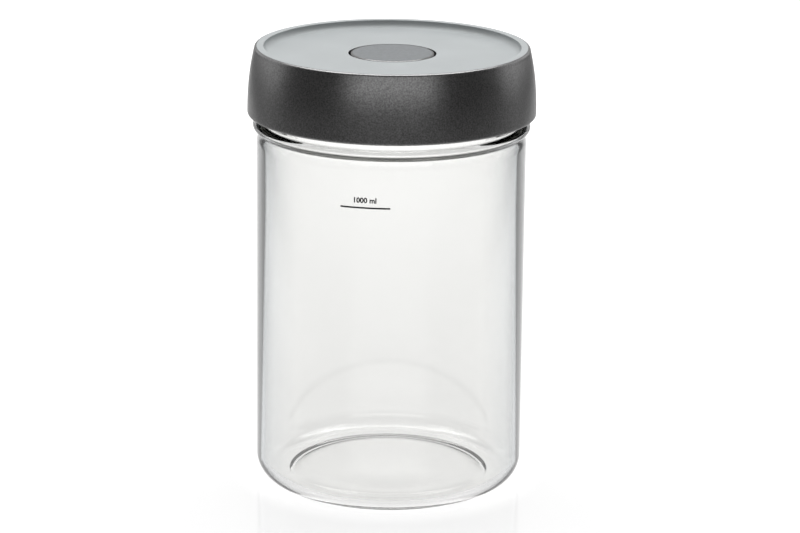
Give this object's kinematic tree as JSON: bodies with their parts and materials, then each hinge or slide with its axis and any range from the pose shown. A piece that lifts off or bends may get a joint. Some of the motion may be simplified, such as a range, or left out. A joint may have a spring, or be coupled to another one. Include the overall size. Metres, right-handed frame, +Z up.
{
  "type": "fermentation jar",
  "caption": "Straight-sided glass fermentation jar with a flared screw lid; a round button in the lid's recessed top works a one-way degassing valve.",
  "frame": {"origin": "centre of the jar's base, on the plane that it stands on", "axes": "+Z up along the jar's axis; -Y is the front, where the fill mark is; +X is to the right as seen from the front"},
  "size_m": [0.116, 0.116, 0.1801],
  "materials": {
    "clear_glass": "clear, polished",
    "anthracite_plastic": "grained skirt, satin top",
    "button_plastic": "matte, fine grain",
    "natural_plastic": "satin, slightly milky",
    "black_plastic": "satin",
    "pale_silicone": "matte",
    "spring_steel": "bright drawn wire"
  },
  "bodies": {
    "jar": {"glass_jar": "clear_glass"},
    "seal_ring": {"lid_gasket": "pale_silicone"},
    "lid": {"lid_cover": "anthracite_plastic", "thread_liner": "natural_plastic", "return_spring": "spring_steel"},
    "valve": {"valve_button": "button_plastic", "valve_stem": "black_plastic", "umbrella_valve": "pale_silicone", "foot_seal": "pale_silicone"}
  },
  "joints": [
    {"name": "lid_rise", "type": "slide", "parent": "jar", "child": "seal_ring", "axis": [0, 0, 1], "range_m": [0, 0.02401]},
    {"name": "lid_turn", "type": "hinge", "parent": "seal_ring", "child": "lid", "pos_m": [0, 0, 0.165], "axis": [0, 0, 1], "range_deg": [0, 360]},
    {"name": "button_press", "type": "slide", "parent": "lid", "child": "valve", "axis": [0, 0, -1], "range_m": [0, 0.0025], "stiffness_N_per_m": 600, "springref_m": -0.003, "deforming": ["return_spring"]}
  ],
  "couplings": [
    {"joint": "lid_rise", "follows": "lid_turn", "m_per_rad": 0.0038197}
  ]
}
